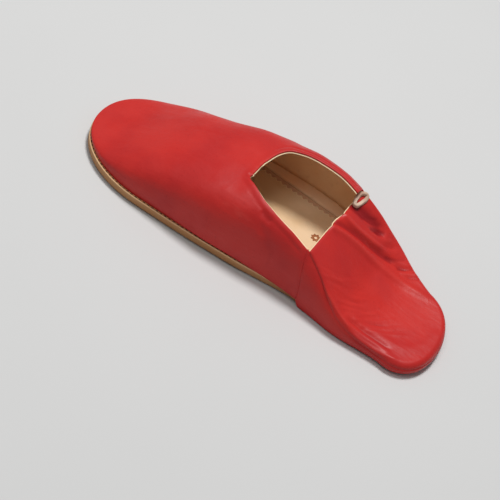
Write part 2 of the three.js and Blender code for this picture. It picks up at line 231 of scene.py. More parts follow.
def upper_form(x):
    """Swell, lean, belly, crown and squareness of the section at x."""
    squareness = vamp_squareness(x)
    heel = smooth_ramp(SEAM_X - x, 0, SEAM_X - HEEL_CAP_X)
    belly = lerp(VAMP_BELLY, QUARTER_BELLY, heel)
    arch_at_ridge = (1 - ridge_share(x) ** squareness) ** (1 / squareness)
    quarter_crown = belly + (ridge_height(x) - ridge_bend(x) - belly) / arch_at_ridge
    crown = np.where(x >= SEAM_X, vamp_crown(x), quarter_crown)
    swell = lerp(vamp_swell(x), QUARTER_SWELL, heel)
    return swell, lerp(vamp_lean(x), 0, heel), belly, crown, squareness


def slanted(places, share):
    """Flank columns moved back by the slant of the side seams, most at the foot."""
    angle = np.arccos(np.clip(share, 0, 1) ** (1 / SECTION_POWER))
    low = 1 - np.minimum(1, angle / SEAM_TOP_ANGLE)
    near = 1 - smooth_ramp(np.abs(places[..., 0] - SEAM_X), 0, SEAM_SLANT_REACH)
    moved = np.broadcast_to(places, np.broadcast_shapes(low.shape, near.shape) + (4,)).copy()
    moved[..., 0] -= SEAM_SLANT * low * near * (moved[..., 3] == 0)
    return moved


def arch_points(places, share):
    """Points over the foot: share 1 is the widest place, share 0 the middle line."""
    places = slanted(places, share)
    foot_x, _ = plan_point(places, 0, share)
    x, y = plan_point(places, upper_form(foot_x)[0], share)
    _, lean, belly, crown, squareness = upper_form(x)
    arch = np.maximum(0, 1 - share**squareness) ** (1 / squareness)
    return np.stack([x, y - lean, belly + (crown - belly) * arch + toe_spring(x)], -1)


def wall_points(places, rise):
    """Points of the low wall: rise 0 is the edge on the sole, rise 1 the belly."""
    places = slanted(places, np.ones_like(rise))
    foot_x, _ = plan_point(places, 0, np.ones_like(rise))
    swell, lean, belly, _, _ = upper_form(foot_x)
    bulge = np.sin(rise * math.pi / 2)
    x, y = plan_point(places, swell * bulge, np.ones_like(rise))
    hem = hem_height(foot_x)
    return np.stack([x, y - lean * bulge, lerp(hem, belly, rise) + toe_spring(x)], -1)


print("crown in front of the foot opening:", upper_form(np.array([151.0]))[3].round(1), "mm")

# %% [markdown]
# ## Skins
# A skin is a welded grid of points with a normal at each. Leather is then given its real
# thickness by walking inward along the normals, and each free edge gets a rounded lip, since
# cut leather is never knife-sharp. Blender's Solidify modifier could do the thickness, but it
# can't round the lip or part the red leather from the lining behind it.

# %% Grids to skins
WELD_STEPS_PER_MM = 1000


def weld(grids):
    """Joins grids of points (columns, rows, 3) into points and triangles.

    Numbers after x, y and z are marks that travel with the point."""
    points, faces, start = [], [], 0
    for grid in grids:
        n, m = grid.shape[:2]
        ids = np.arange(n * m).reshape(n, m) + start
        a, b, c, d = ids[:-1, :-1], ids[1:, :-1], ids[1:, 1:], ids[:-1, 1:]
        faces += [np.stack([a, c, b], -1).reshape(-1, 3), np.stack([a, d, c], -1).reshape(-1, 3)]
        points.append(grid.reshape(n * m, -1))
        start += n * m
    points, faces = np.concatenate(points), np.concatenate(faces)
    places = np.round(points[:, :3] * WELD_STEPS_PER_MM).astype(np.int64)
    _, first, index = np.unique(places, axis=0, return_index=True, return_inverse=True)
    faces = index.reshape(-1)[faces]
    keep = (
        (faces[:, 0] != faces[:, 1]) & (faces[:, 1] != faces[:, 2]) & (faces[:, 2] != faces[:, 0])
    )
    return points[first], faces[keep]


def normals_of(points, faces):
    """Unit normal at each point, weighted by the area of the faces round it."""
    a, b, c = (points[faces[:, i]] for i in range(3))
    area = np.cross(b - a, c - a)
    total = np.zeros_like(points)
    for i in range(3):
        np.add.at(total, faces[:, i], area)
    return total / np.maximum(np.linalg.norm(total, axis=1, keepdims=True), 1e-12)


square = np.array([[(0.0, 0.0, 0.0), (0.0, 1.0, 0.0)], [(1.0, 0.0, 0.0), (1.0, 1.0, 0.0)]])
square_points, square_faces = weld([square])
print("a square welds to", len(square_points), "points and", len(square_faces), "faces")

# %% Shells with rounded lips


def free_edges(faces):
    """Directed edges that belong to one face only."""
    edges = np.concatenate([faces[:, [0, 1]], faces[:, [1, 2]], faces[:, [2, 0]]])
    codes = edges[:, 0] * (faces.max() + 1) + edges[:, 1]
    back = edges[:, 1] * (faces.max() + 1) + edges[:, 0]
    return edges[~np.isin(codes, back)]


def shell(points, faces, normals, outer, inner, lip, marks, lip_steps=6):
    """Closed shell between two offsets of a skin, with a rounded lip that stands out by `lip`."""
    count = len(points)
    edges = free_edges(faces)
    along = points[edges[:, 1]] - points[edges[:, 0]]
    outward = np.zeros_like(points)
    for i in range(2):
        np.add.at(outward, edges[:, i], np.cross(along, normals[edges[:, i]]))
    outward /= np.maximum(np.linalg.norm(outward, axis=1, keepdims=True), 1e-12)
    rings = []
    for step in range(lip_steps + 1):
        angle = math.pi * step / lip_steps
        level = lerp(inner, outer, (1 + math.cos(angle)) / 2)
        rings.append(points + normals * level + outward * (lip * math.sin(angle))[:, None])
    all_faces = [faces, faces[:, ::-1] + lip_steps * count]
    for step in range(lip_steps):
        a, b = edges[:, 0] + step * count, edges[:, 1] + step * count
        all_faces += [np.stack([b, a, a + count], 1), np.stack([b, a + count, b + count], 1)]
    all_faces = np.concatenate(all_faces)
    marks = {key: np.tile(values, lip_steps + 1) for key, values in marks.items()}
    marks["cut"] = np.repeat([0.0] + [1.0] * (lip_steps - 1) + [0.0], count)
    used, faces = np.unique(all_faces, return_inverse=True)
    marks = {key: values[used] for key, values in marks.items()}
    return np.concatenate(rings)[used], faces.reshape(-1, 3), marks


print("the square has", len(free_edges(square_faces)), "free edges, each of which gets a lip")

# %% [markdown]
# ## From the last to the frame
# The tables count from the heel end, while the packed solids are centred on their box. The
# corner of the packed outsole tells how far one lies from the other. Measuring it keeps both in
# step, where a typed-in offset could go stale.

# %% Place of the last in the frame
MM = 0.001


def ring_places(flank=220, toe=200, heel=160):
    """Columns all the way round, clockwise seen from above, closed on the first one."""
    places = [
        side_places(HEEL_CAP_X, TOE_CAP_X, flank, 1),
        cap_places(1, toe),
        side_places(TOE_CAP_X, HEEL_CAP_X, flank, -1),
        cap_places(-1, heel)[::-1],
    ]
    places.append(places[0][:1])
    return np.concatenate(places)


sole_ring = ring_places()
ring_foot_x, _ = plan_point(sole_ring, 0, 1)
ring_x, ring_y = plan_point(sole_ring, sole_margin(ring_foot_x), 1)
outsole_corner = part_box("outsole")[1] / MM
LAST_TO_FRAME = np.array([outsole_corner.x - ring_x.max(), outsole_corner.y - ring_y.max(), 0])
print("the last's heel end lies at", LAST_TO_FRAME.round(2), "mm in the frame")


def to_frame(points):
    """Millimetres of the last to metres of the shared frame."""
    return (points + LAST_TO_FRAME) * MM


# %% [markdown]
# ## Adding a piece
# Each piece of leather becomes one smooth mesh with its marks, which are numbers on the points
# that its material reads. It rides on the slipper's only body, and where it stands for a packed
# solid it takes that solid's place in the picture. One function does it, so no piece can miss
# a step.

# %% Adding a piece


def add_piece(name, points, faces, material, slot, node=None, marks=None):
    """Makes one smooth mesh piece that rides on the slipper's body."""
    mesh = bpy.data.meshes.new(name)
    mesh.from_pydata(to_frame(points).tolist(), [], faces.tolist())
    mesh.shade_smooth()
    for key, values in (marks or {}).items():
        layer = mesh.attributes.new(key, "FLOAT", "POINT")
        layer.data.foreach_set("value", np.asarray(values, np.float32))
    piece = bpy.data.objects.new(name, mesh)
    bpy.context.scene.collection.objects.link(piece)
    mesh.materials.append(material)
    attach(piece, "root")
    if node:
        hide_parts(node)
    print(f"{name}: {len(faces)} faces")


print("ready to add pieces on", list(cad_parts))


# %% [markdown]
# ## A shader bench
# All the finishes are node materials worked out from the mesh's own coordinates, so they have
# no image to stretch and the same grain from every side. A few helpers keep each recipe short.
# An image texture would be quicker to set up, but a shoe has no flat side to lay it on.

# %% Shader helpers


class Bench:
    """A new material with its shader, and short ways to add nodes to it."""

    def __init__(self, name, roughness, specular=0.5):
        self.material = bpy.data.materials.new(name)
        self.material.use_nodes = True
        self.nodes = self.material.node_tree.nodes
        self.links = self.material.node_tree.links
        self.shader = self.nodes["Principled BSDF"]
        self.shader.inputs["Roughness"].default_value = roughness
        self.shader.inputs["Specular IOR Level"].default_value = specular
        self.place = self.nodes.new("ShaderNodeTexCoord").outputs["Object"]

    def join(self, source, node, socket):
        self.links.new(source, node.inputs[socket])

    def noise(self, scale, detail=4, roughness=0.55, stretch=(1, 1, 1)):
        mapping = self.nodes.new("ShaderNodeMapping")
        mapping.inputs["Scale"].default_value = stretch
        self.join(self.place, mapping, "Vector")
        noise = self.nodes.new("ShaderNodeTexNoise")
        noise.inputs["Scale"].default_value = scale
        noise.inputs["Detail"].default_value = detail
        noise.inputs["Roughness"].default_value = roughness
        self.join(mapping.outputs["Vector"], noise, "Vector")
        return noise.outputs["Fac"]

    def cells(self, scale):
        cells = self.nodes.new("ShaderNodeTexVoronoi")
        cells.feature = "SMOOTH_F1"
        cells.inputs["Scale"].default_value = scale
        self.join(self.place, cells, "Vector")
        return cells.outputs["Distance"]

    def mark(self, name):
        attribute = self.nodes.new("ShaderNodeAttribute")
        attribute.attribute_name = name
        return attribute.outputs["Fac"]

    def ramp(self, source, low, high, low_value=0.0, high_value=1.0):
        node = self.nodes.new("ShaderNodeMapRange")
        node.interpolation_type = "SMOOTHSTEP"
        node.inputs["From Min"].default_value = low
        node.inputs["From Max"].default_value = high
        node.inputs["To Min"].default_value = low_value
        node.inputs["To Max"].default_value = high_value
        self.join(source, node, "Value")
        return node.outputs["Result"]

    def mix(self, factor, first, second):
        """Colour mix: a colour is either three linear numbers or a socket."""
        node = self.nodes.new("ShaderNodeMix")
        node.data_type = "RGBA"
        self.join(factor, node, "Factor")
        for socket, colour in ((6, first), (7, second)):
            if isinstance(colour, tuple):
                node.inputs[socket].default_value = (*colour, 1)
            else:
                self.links.new(colour, node.inputs[socket])
        return node.outputs[2]

    def colour(self, socket):
        self.join(socket, self.shader, "Base Color")

    def rough(self, socket):
        self.join(socket, self.shader, "Roughness")

    def bump(self, height, depth_mm, strength=1.0):
        """Adds a fine relief on top of any that is there already."""
        node = self.nodes.new("ShaderNodeBump")
        node.inputs["Strength"].default_value = strength
        node.inputs["Distance"].default_value = depth_mm * MM
        self.join(height, node, "Height")
        normal = self.shader.inputs["Normal"]
        if normal.links:
            self.links.new(normal.links[0].from_socket, node.inputs["Normal"])
        self.join(node.outputs["Normal"], self.shader, "Normal")


print("shader bench with", len([name for name in vars(Bench) if name[0] != "_"]), "tools")

# %% [markdown]
# ## Red goatskin
# The upper is thin goatskin, dyed through and polished: a strong red with a soft sheen, a pebbled
# grain under a millimetre across and faint drag lines where it was pulled over the last. Colour
# drifts over centimetres. The troughs of the creases are painted darker, as painted shade, and
# their crests lighter, as a painted highlight. The crest and trough values come from the mesh
# itself, so paint and shape always agree. Faint rubbed streaks lie along the foot, where it has
# been handled.

# %% Red goatskin material
DEEP_RED = (0.47, 0.019, 0.018)
SHADED_TROUGH_RED = (0.20, 0.004, 0.008)
HIGHLIGHT_CREST_RED = (0.70, 0.075, 0.06)
PORE_RED = (0.26, 0.008, 0.010)
RUBBED_RED = (0.60, 0.075, 0.062)
PORES_PER_METRE = 1500


def red_goatskin(name, bright):
    bench = Bench(name, roughness=0.42, specular=0.28)
    base = bench.mix(bench.ramp(bench.noise(26, detail=3), 0.3, 0.7), DEEP_RED, bright)
    # Painted shade in the crease troughs, then a painted highlight on the crests.
    trough = bench.ramp(bench.mark("crease"), -0.15, -1.4, 0, 0.75)
    base = bench.mix(trough, base, SHADED_TROUGH_RED)
    crest = bench.ramp(bench.mark("crease"), 0.15, 1.6, 0, 0.35)
    base = bench.mix(crest, base, HIGHLIGHT_CREST_RED)
    pores = bench.ramp(bench.cells(PORES_PER_METRE), 0.5, 0.9, 0, 0.3)
    base = bench.mix(pores, base, PORE_RED)
    streaks = bench.noise(55, detail=6, roughness=0.7, stretch=(0.5, 2.2, 1))
    base = bench.mix(bench.ramp(streaks, 0.6, 0.8, 0, 0.35), base, RUBBED_RED)
    bench.colour(base)
    bench.rough(bench.ramp(bench.noise(70, detail=5), 0.3, 0.7, 0.36, 0.52))
    bench.bump(bench.noise(90, detail=3, stretch=(0.35, 1.6, 1.6)), 0.5, 0.7)
    bench.bump(bench.noise(420, detail=5), 0.14, 0.75)
    bench.bump(bench.cells(PORES_PER_METRE), 0.06, 0.5)
    return bench.material


vamp_red = red_goatskin("red_goatskin_vamp", bright=(0.56, 0.026, 0.021))
quarter_red = red_goatskin("red_goatskin_quarter", bright=(0.56, 0.024, 0.018))
print("reds:", vamp_red.name, quarter_red.name)

# %% [markdown]
# ## Undyed leathers
# Lining, insole and sole are the same kind of leather before dye: tan, matt and a little blotchy.
# The lining is sheepskin worn warm and shiny by feet, the insole is paler, and the sole is thick
# hide whose rim is painted darker, as painted shade. Three recipes share one function, since only
# the tones and the size of the blotches differ. A "shade" mark mixes in the stain colour as
# painted shade. A cut edge is the palest, as the dressing never reached it.

# %% Undyed leather materials
CUT_TAN = (0.92, 0.72, 0.46)


def tan_leather(name, pale, warm, stain_and_shade, blotch, roughness=0.72):
    bench = Bench(name, roughness=roughness, specular=0.3)
    base = bench.mix(bench.ramp(bench.noise(blotch, detail=5), 0.34, 0.66), pale, warm)
    freckles = bench.ramp(bench.noise(blotch * 9, detail=3), 0.62, 0.82, 0, 0.3)
    base = bench.mix(freckles, base, stain_and_shade)
    # Painted shade: the shade mark mixes the stain colour in where less light falls.
    base = bench.mix(bench.ramp(bench.mark("shade"), 0, 1), base, stain_and_shade)
    base = bench.mix(bench.ramp(bench.mark("cut"), 0, 0.6, 0, 0.9), base, CUT_TAN)
    bench.colour(base)
    wear = bench.noise(120, detail=4)
    bench.rough(bench.ramp(wear, 0.3, 0.7, roughness - 0.1, roughness + 0.1))
    bench.bump(bench.noise(60, detail=4), 0.4, 0.35)
    bench.bump(bench.noise(700, detail=6, roughness=0.7), 0.12, 0.6)
    return bench.material


lining_tan = tan_leather(
    "lining_sheepskin", (0.92, 0.66, 0.43), (0.86, 0.54, 0.32), (0.52, 0.26, 0.13), 24, 0.62
)
insole_tan = tan_leather(
    "insole_hide", (0.78, 0.57, 0.36), (0.70, 0.48, 0.27), (0.52, 0.30, 0.15), 30
)
sole_tan = tan_leather(
    "outsole_hide", (0.66, 0.37, 0.17), (0.56, 0.285, 0.115), (0.26, 0.095, 0.03), 18
)
print("tans:", lining_tan.name, insole_tan.name, sole_tan.name)

# %% [markdown]
# ## Listed creases
# Soft leather bends in the same few places each time, so its main creases are listed one by one:
# a start, a bend and an end in the plan of the last, then how wide and how high. A positive
# height is a ridge and a negative one a trough. Noise alone would wrinkle everywhere alike, and a
# real babouche is smooth on top and crumpled only beside the fold.

# %% Crease rows
FLAP_CREASES = {
    "start": ((93, -3), (93, -8), (92, -17), (93, -29), (55, 30), (51, 34.5), (54, 26), (22, 24)),
    "bend": (
        (65.5, -23), (64, -27), (77, -18), (86, -31), (39.5, 26.3), (39, 33), (38, 22), (2, 12),
    ),
    "end": ((16, -27), (43, -35), (62, -33), (66, -39), (19, 25.5), (26, 31), (17, 20), (6, -12)),
    "width": (2.6, 2.2, 2.0, 4.6, 1.5, 1.2, 2.4, 4.5),
    "height": (1.3, -1.7, 1.4, -2.6, -1.0, -0.8, 0.5, 0.7),
}
VAMP_CREASES = {
    "start": ((190, 5), (196, 12), (206, -9), (131, 25.5), (128, 30), (160, 25)),
    "bend": ((178, 7), (184, 15), (194, -13), (126, 28), (118, 33), (150, 30)),
    "end": ((166, 6), (171, 15), (178, -12), (121, 27), (108, 33), (134, 30)),
    "width": (1.3, 1.2, 1.6, 1.3, 1.6, 3.0),
    "height": (-0.28, -0.22, -0.18, -0.55, -0.4, 0.3),
}
crease_counts = [len(table["width"]) for table in (FLAP_CREASES, VAMP_CREASES)]
print("main creases on flap and vamp:", crease_counts)

# %% Creases to heights
END_FADE = 0.18


def rows_of(table):
    return [dict(zip(table, values)) for values in zip(*table.values())]


def crease_heights(points, rows, samples=90):
    """Height that a set of creases adds at each point, seen in plan."""
    total = np.zeros(len(points))
    t = np.linspace(0, 1, samples)
    for row in rows:
        start, bend, end = (np.array(row[key], float) for key in ("start", "bend", "end"))
        line = np.outer((1 - t) ** 2, start) + np.outer(2 * t * (1 - t), bend)
        line = line + np.outer(t * t, end)
        gap = np.linalg.norm(points[:, None, :2] - line[None], axis=2)
        nearest = gap.argmin(1)
        along = t[nearest]
        fade = smooth_ramp(1 - along, 0, END_FADE)
        if not row.get("open_start"):
            fade = smooth_ramp(along, 0, END_FADE) * fade
        total += row["height"] * fade * np.exp(-((gap.min(1) / row["width"]) ** 2))
    return total


def edge_gap(points, edge):
    """Distance from each point to the nearest point of an edge."""
    best = np.full(len(points), 1e9)
    for start in range(0, len(edge), 40):
        part = edge[start : start + 40]
        best = np.minimum(best, np.linalg.norm(points[:, None] - part[None], axis=2).min(1))
    return best


trial = crease_heights(np.array([[180.0, 10.0, 0.0]]), rows_of(VAMP_CREASES))
print("relief in the middle of the ball:", trial.round(2), "mm")

# %% [markdown]
# ## The vamp
# One piece of goatskin covers toe, instep and sides, cut out at the top for the foot. Its collar
# edge is folded over and makes a soft bead. The columns climb from the sole to the collar, or to
# the middle line in front of it, so the bead can follow the edge exactly. One grid over the whole
# toe would be simpler, but its rows would cut across the collar and fray the edge.

# %% Collar and leather
COLLAR = {
    "step": (0, 1, 2, 3, 4, 5, 6),
    "left_x": (94.5, 108, 120, 132, 142, 150.4, 150.7),
    "left_half": (35, 34.1, 32.6, 29.2, 23.4, 16, 0),
    "right_x": (94.5, 108, 121, 133, 142, 148.2, 150.7),
    "right_half": (22.9, 23.4, 23, 22.4, 20.4, 12, 0),
}
THROAT_BASE_X = 166
LEATHER = 1.2
LINING = 0.8
print("foot opening", COLLAR["left_half"][0] + COLLAR["right_half"][0], "mm wide at the seams")

# %% Skin of the vamp
WALL_RISE = np.linspace(0, 1, 9)
COLLAR_COLUMNS = 90
SPINE_COLUMNS = 36
CAP_COLUMNS = 110
ARCH_RISE = np.linspace(0, 1, 59)


def vamp_side(side):
    """Grid of one side of the vamp, from the seam to the toe cap."""
    t = np.linspace(0, 1, COLLAR_COLUMNS + 1)
    s = np.linspace(0, 1, SPINE_COLUMNS + 1)[1:]
    hand = "left" if side > 0 else "right"
    collar_step = COLLAR["step"][-1] * t
    collar_x = smooth_table(COLLAR, f"{hand}_x", "step")(collar_step)
    collar_half = smooth_table(COLLAR, f"{hand}_half", "step")(collar_step)
    base = np.concatenate([lerp(SEAM_X, THROAT_BASE_X, t), lerp(THROAT_BASE_X, TOE_CAP_X, s)])
    top_x = np.concatenate([collar_x, lerp(collar_x[-1], TOE_CAP_X, s)])
    top_half = np.concatenate([collar_half, np.zeros(SPINE_COLUMNS)])
    top_share = np.minimum(1, top_half / (foot_half(top_x) + upper_form(top_x)[0]))
    top_angle = np.arccos(top_share ** (1 / SECTION_POWER))
    share = np.maximum(0, np.cos(top_angle[:, None] * ARCH_RISE)) ** SECTION_POWER
    places = side_places(SEAM_X, TOE_CAP_X, len(base) - 1, side)
    places[:, 0] = base
    arch_places = np.repeat(places[:, None], len(ARCH_RISE), 1)
    arch_places[..., 0] = lerp(base[:, None], top_x[:, None], ARCH_RISE)
    wall = wall_points(places[:, None], WALL_RISE[:-1])
    return np.concatenate([wall, arch_points(arch_places, share)], 1)


def vamp_cap():
    """Grid of the toe cap, which closes on one point at the top."""
    places = cap_places(1, CAP_COLUMNS)[:, None]
    share = np.maximum(0, np.cos(ARCH_RISE * math.pi / 2)) ** SECTION_POWER
    share[-1] = 0
    return np.concatenate([wall_points(places, WALL_RISE[:-1]), arch_points(places, share)], 1)


left, right = vamp_side(1), vamp_side(-1)
collar_edge = np.concatenate([grid[: COLLAR_COLUMNS + 1, -1] for grid in (left, right)])
vamp_points, vamp_faces = weld([np.concatenate([left, vamp_cap(), right[::-1]])])
vamp_normals = normals_of(vamp_points, vamp_faces)
print("vamp skin:", len(vamp_points), "points")

# %% [markdown]
# ## Relief of the vamp
# Bead, creases and the hand-pulled unevenness all push the skin along its normals. A bead is a
# low ridge close to the edge and a shallow groove behind it, deepest along the outer side. Fine
# lines across the ball, where the foot bends, are drawn with a seed. A bump map could fake all
# this, but real relief also changes the outline and the shadows.

# %% Beads and ripples
BEAD = {"place": 1.5, "width": 1.4, "height": 0.28}
BEAD_GROOVE = {"place": 4.2, "width": 1.1, "height": -0.55}
SEAM_VALLEY = {"place": 0, "width": 0.9, "height": -0.35}
SEAM_FADE = 6


def bead_heights(gap, *rings):
    return sum(r["height"] * np.exp(-(((gap - r["place"]) / r["width"]) ** 2)) for r in rings)


def ripple(points, scale, seed):
    """Slow, seeded unevenness between -1 and 1 made of a few crossing waves."""
    random = np.random.default_rng(seed)
    waves = random.normal(size=(10, 3)) / scale
    shifts = random.uniform(0, 2 * math.pi, 10)
    return np.sin(points @ waves.T + shifts).mean(1)


def seamed(relief, gap):
    """Relief that fades out towards a side seam and dips into its valley."""
    return relief * smooth_ramp(gap, 0, SEAM_FADE) + bead_heights(gap, SEAM_VALLEY)


collar_gap = edge_gap(vamp_points, collar_edge)
seam_gap = edge_gap(vamp_points, np.concatenate([left[0], right[0]]))
print("collar bead:", int((collar_gap < 3).sum()), "points lie within 3 mm of the edge")

# %% Lines across the ball and the vamp's relief
TOP_OF_FOOT_Z = (14, 22)
OUTER_SIDE_Y = (-8, -22)
BESIDE_OPENING_X = (152, 140)
INNER_GROOVE = 0.2
UNEVENNESS = 0.35
instep_draw = np.random.default_rng(29)
instep_lines = [
    {
        "start": (208 - 5 * i + instep_draw.uniform(-4, 4), -14 + 2.2 * i),
        "bend": (196 - 5 * i, -7 + 2.2 * i),
        "end": (
            182 - 5 * i + instep_draw.uniform(-6, 6),
            -6 + 2.2 * i + instep_draw.uniform(-4, 4),
        ),
        "width": instep_draw.uniform(0.8, 1.3),
        "height": instep_draw.uniform(0.1, 0.22) * (1 if i % 2 else -1),
    }
    for i in range(12)
]
x, y, z = vamp_points.T
on_top = smooth_ramp(z, *TOP_OF_FOOT_Z)
on_outer_side = smooth_ramp(y, *OUTER_SIDE_Y) * smooth_ramp(x, *BESIDE_OPENING_X)
vamp_crease = crease_heights(vamp_points, rows_of(VAMP_CREASES) + instep_lines) * on_top
vamp_relief = vamp_crease + bead_heights(collar_gap, BEAD)
vamp_relief += bead_heights(collar_gap, BEAD_GROOVE) * lerp(INNER_GROOVE, 1, on_outer_side)
vamp_relief += UNEVENNESS * ripple(vamp_points, scale=9, seed=3) * on_top
vamp_shaped = vamp_points + vamp_normals * seamed(vamp_relief, seam_gap)[:, None]
vamp_normals = normals_of(vamp_shaped, vamp_faces)
print("vamp relief:", vamp_relief.min().round(2), "to", vamp_relief.max().round(2), "mm")

# %% [markdown]
# ## Red leather and lining
# The red leather and the lining are two shells, one just behind the other. The lining's lip
# stands out further at the collar, so its pale cut edge frames the opening. At the side seams
# both lips close up to the next piece.

# %% Vamp leather and lining
ON_EDGE = 0.05
LAYER_GAP = 0.05
SEAM_CLOSING = 0.18
LOOSE_LINING = 0.5


def dress(name, node, skin, gaps, lips, crease, red_leather, shade, lining_folds=0.0):
    """Red leather and lining off one skin.

    gaps are the distances to the free edge and to the seams, lips the red and the lining lip."""
    free_gap, seam_gap = gaps
    red_lip, lining_lip = (
        np.maximum(lip * (free_gap < ON_EDGE), SEAM_CLOSING * (seam_gap < ON_EDGE))
        for lip in lips
    )
    red = shell(*skin, 0, -LEATHER, red_lip, {"crease": crease})
    add_piece(f"{name}_leather", *red[:2], red_leather, f"{name}_leather", node, red[2])
    back = -LEATHER - LINING + lining_folds
    lining = shell(*skin, -LEATHER - LAYER_GAP, back, lining_lip, {"shade": shade}, lip_steps=4)
    add_piece(f"{name}_lining", *lining[:2], lining_tan, f"{name}_leather", node, lining[2])


loose = LOOSE_LINING * ripple(vamp_points, scale=4, seed=8) * smooth_ramp(collar_gap, 3, 12)
dress(
    "vamp",
    "vamp",
    (vamp_shaped, vamp_faces, vamp_normals),
    gaps=(collar_gap, seam_gap),
    lips=(0.65, 1.2),
    crease=vamp_crease,
    red_leather=vamp_red,
    shade=0.6 * smooth_ramp(vamp_points[:, 0], 150, 185),
    lining_folds=np.minimum(0, loose)[:, None],
)

# %% [markdown]
# ## The back quarter
# The heel part is a second piece, seamed to the vamp at both sides. Trodden down, it folds along
# a ridge and its top lies forward as a ramp. The wall, the fold and the flap are one skin, so
# the leather runs unbroken over the ridge, and a mark on each point says how far it has turned
# over. The far side of the flap falls into folds, because there the leather had more length than
# the ramp could use.

# %% Wall and flap of the back quarter
FLAP_START_X = 92.6
FLAP_FRONT_X = 93.8
FLAP_SAG = 1
SEAM_SLIT = 0.12


def quarter_wall(places, rows=26):
    foot_x, _ = plan_point(places, 0, 1)
    top_share = ridge_share(foot_x)[:, None]
    rise = np.linspace(0, 1, rows + 1)
    wall = wall_points(places[:, None], WALL_RISE[:-1])
    wall = np.concatenate([wall, arch_points(places[:, None], 1 - (1 - top_share) * rise**2)], 1)
    return np.concatenate([wall, np.zeros(wall.shape[:2] + (1,))], 2)


def quarter_flap(places, middle_x, fold_rows=10, panel_rows=44):
    foot_x, _ = plan_point(places, 0, 1)
    ridge = arch_points(places, ridge_share(foot_x))
    folded = np.minimum(1, np.arange(fold_rows + panel_rows + 1) / fold_rows)
    radius = ridge_bend(foot_x)[:, None]
    middle = np.stack([middle_x, middle_y(middle_x)], 1)
    inward = middle - ridge[:, :2]
    length = np.linalg.norm(inward, axis=1, keepdims=True)
    inward = np.concatenate([inward / length, np.zeros_like(length)], 1)
    angle = np.linspace(0, math.pi / 2, fold_rows + 1)
    up = np.array([0, 0, 1])
    bend = ridge[:, None] + inward[:, None] * (radius * (1 - np.cos(angle)))[..., None]
    bend = bend + up * (radius * np.sin(angle))[..., None]
    edge = bend[:, -1]
    t = np.linspace(0, 1, panel_rows + 1)[1:]
    panel = edge[:, None] + inward[:, None] * ((length - radius) * t)[..., None]
    middle_z = ridge_height(middle_x) - FLAP_SAG
    panel[..., 2] = lerp(edge[:, 2:3], middle_z[:, None], t * (2 - t))
    flap = np.concatenate([bend, panel], 1)
    folded = np.broadcast_to(folded[:, None], flap.shape[:2] + (1,))
    return np.concatenate([flap, folded], 2)


print("the flap runs from", HEEL_CAP_X, "to", FLAP_FRONT_X, "mm along the middle")

# %% Skin of the back quarter
FLAP_COLUMNS = 72


def mirrored(places):
    """The same columns on the right flank, in the opposite order."""
    other = places[::-1].copy()
    other[:, 1] = -1
    other[:, 2] = math.pi
    return other


flank = side_places(FLAP_START_X, HEEL_CAP_X, FLAP_COLUMNS, 1)
heel_cap = cap_places(-1, 100)
around = np.concatenate([flank, heel_cap, mirrored(flank)])
flank_middle = np.linspace(FLAP_FRONT_X, HEEL_CAP_X, FLAP_COLUMNS + 1)
middles = np.concatenate([flank_middle, np.full(len(heel_cap), HEEL_CAP_X), flank_middle[::-1]])
seam_end = side_places(SEAM_X - SEAM_SLIT, FLAP_START_X, 3, 1)[:-1]
walls = quarter_wall(np.concatenate([seam_end, around, mirrored(seam_end)]))
flap = quarter_flap(around, middles.astype(float))
front_edge = np.concatenate([flap[0], flap[-1]])[:, :3]
quarter_points, quarter_faces = weld([walls[::-1], flap[::-1]])
quarter_points, folded = quarter_points[:, :3], quarter_points[:, 3]
quarter_normals = normals_of(quarter_points, quarter_faces)
print("quarter skin:", len(quarter_points), "points")

# %% [markdown]
# ## Relief of the back quarter
# Small wrinkles run side by side, so loops lay them: short ones down the far slope, and fine drag
# lines across the near half. The random draws are seeded, so each run gives the same leather.
# Two long crests keep to the fold itself, and the folds fade out below it.

# %% Small wrinkles
INNER_CREST = {
    "start": ((93.5, 25.4), (48, 33.4)),
    "bend": ((71, 31.6), (30, 34.2)),
    "end": ((44, 33.6), (12, 29)),
    "width": (0.9, 1.0),
    "height": (0.6, 0.5),
}
draw = np.random.default_rng(11)
slope_wrinkles = [
    {
        "start": (87 - 4.4 * i + draw.uniform(-1, 1), -27.5 - draw.uniform(0, 2)),
        "bend": (80 - 4.4 * i, -33),
        "end": (76 - 4.4 * i + draw.uniform(-2, 2), -41),
        "width": draw.uniform(0.7, 1.2),
        "height": draw.uniform(0.3, 0.6) * (1 if i % 2 else -1),
    }
    for i in range(11)
]
drag_lines = [
    {
        "start": (88 - 2.4 * i, 28 + draw.uniform(-2, 2)),
        "bend": (79 - 2.4 * i, 22),
        "end": (66 - 2.4 * i + draw.uniform(-4, 4), 6 + draw.uniform(-6, 6)),
        "width": 0.8,
        "height": draw.uniform(0.16, 0.3) * (1 if i % 2 else -1),
    }
    for i in range(20)
]
print(len(slope_wrinkles), "wrinkles on the far slope,", len(drag_lines), "drag lines")

# %% Relief of the back quarter
OPEN_CREASES = 4
FOLD_BEGINS = (0.02, 0.3)
FLAP_BEGINS = (0.3, 1)
hand_rows = rows_of(FLAP_CREASES)
for row in hand_rows[:OPEN_CREASES]:
    row["open_start"] = True
on_flap = smooth_ramp(folded, *FLAP_BEGINS)
crest = crease_heights(quarter_points, rows_of(INNER_CREST)) * smooth_ramp(folded, *FOLD_BEGINS)
hand = crease_heights(quarter_points, hand_rows) * on_flap
fine = crease_heights(quarter_points, slope_wrinkles + drag_lines) * on_flap
quarter_relief = hand + fine + crest + 0.3 * ripple(quarter_points, scale=8, seed=5)
front_gap = edge_gap(quarter_points, front_edge)
quarter_relief += 0.5 * bead_heights(front_gap, BEAD) * on_flap
seam_gap = edge_gap(quarter_points, np.concatenate([walls[0], walls[-1]])[:, :3])
quarter_shaped = quarter_points + quarter_normals * seamed(quarter_relief, seam_gap)[:, None]
quarter_normals = normals_of(quarter_shaped, quarter_faces)
print("quarter relief:", quarter_relief.min().round(2), "to", quarter_relief.max().round(2), "mm")

